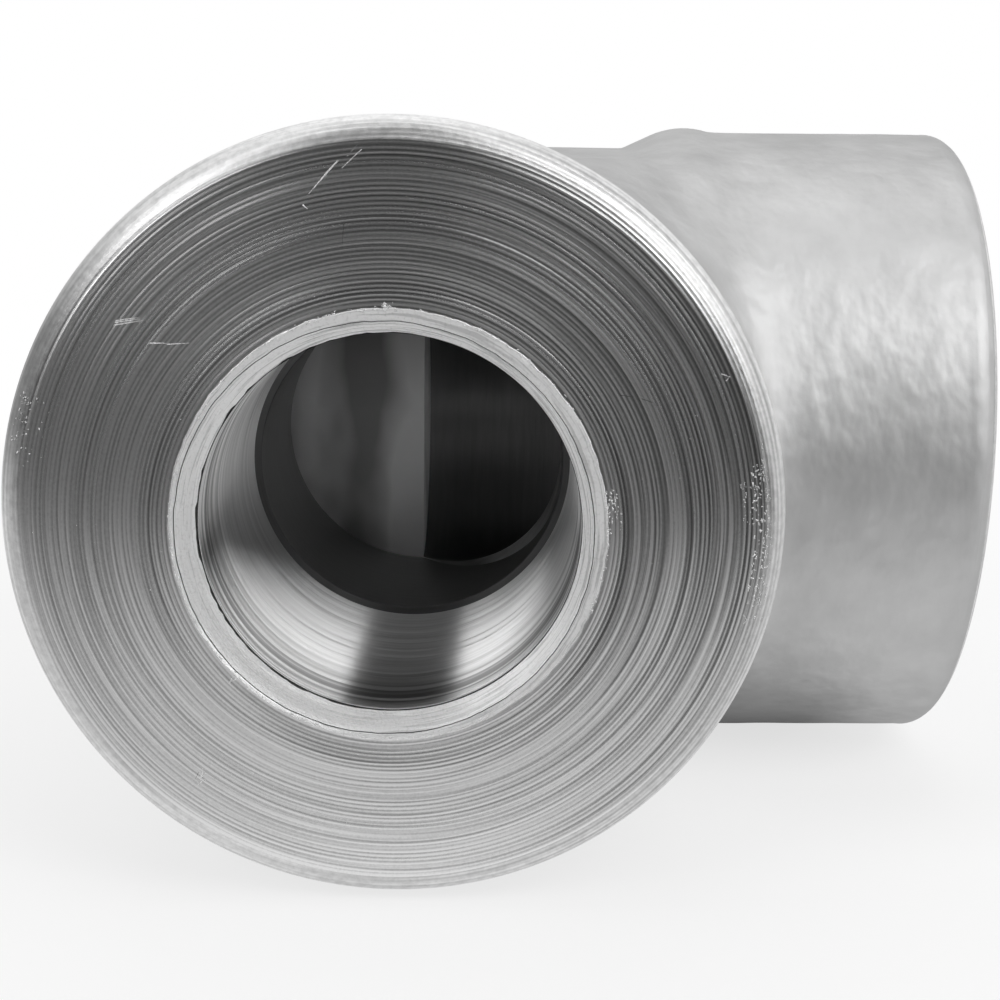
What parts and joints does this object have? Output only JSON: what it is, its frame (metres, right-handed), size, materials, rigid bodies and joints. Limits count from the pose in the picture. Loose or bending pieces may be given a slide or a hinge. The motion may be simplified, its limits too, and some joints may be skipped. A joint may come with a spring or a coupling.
{
  "type": "ninety degree elbow",
  "caption": "Forged and machined pipe elbow that turns a line through a right angle, with a thick round band and a smooth turned bore at each end.",
  "frame": {"origin": "crossing of the two bore axes, inside the bend", "axes": "-Y runs out of the mouth of arm a, +X runs out of the mouth of arm b, and +Z is square to both"},
  "size_m": [0.0525, 0.0525, 0.039],
  "materials": {
    "forged_steel": "satin forged outside, turned end faces, chamfers and bores"
  },
  "bodies": {
    "root": {"elbow_body": "forged_steel"}
  },
  "joints": []
}
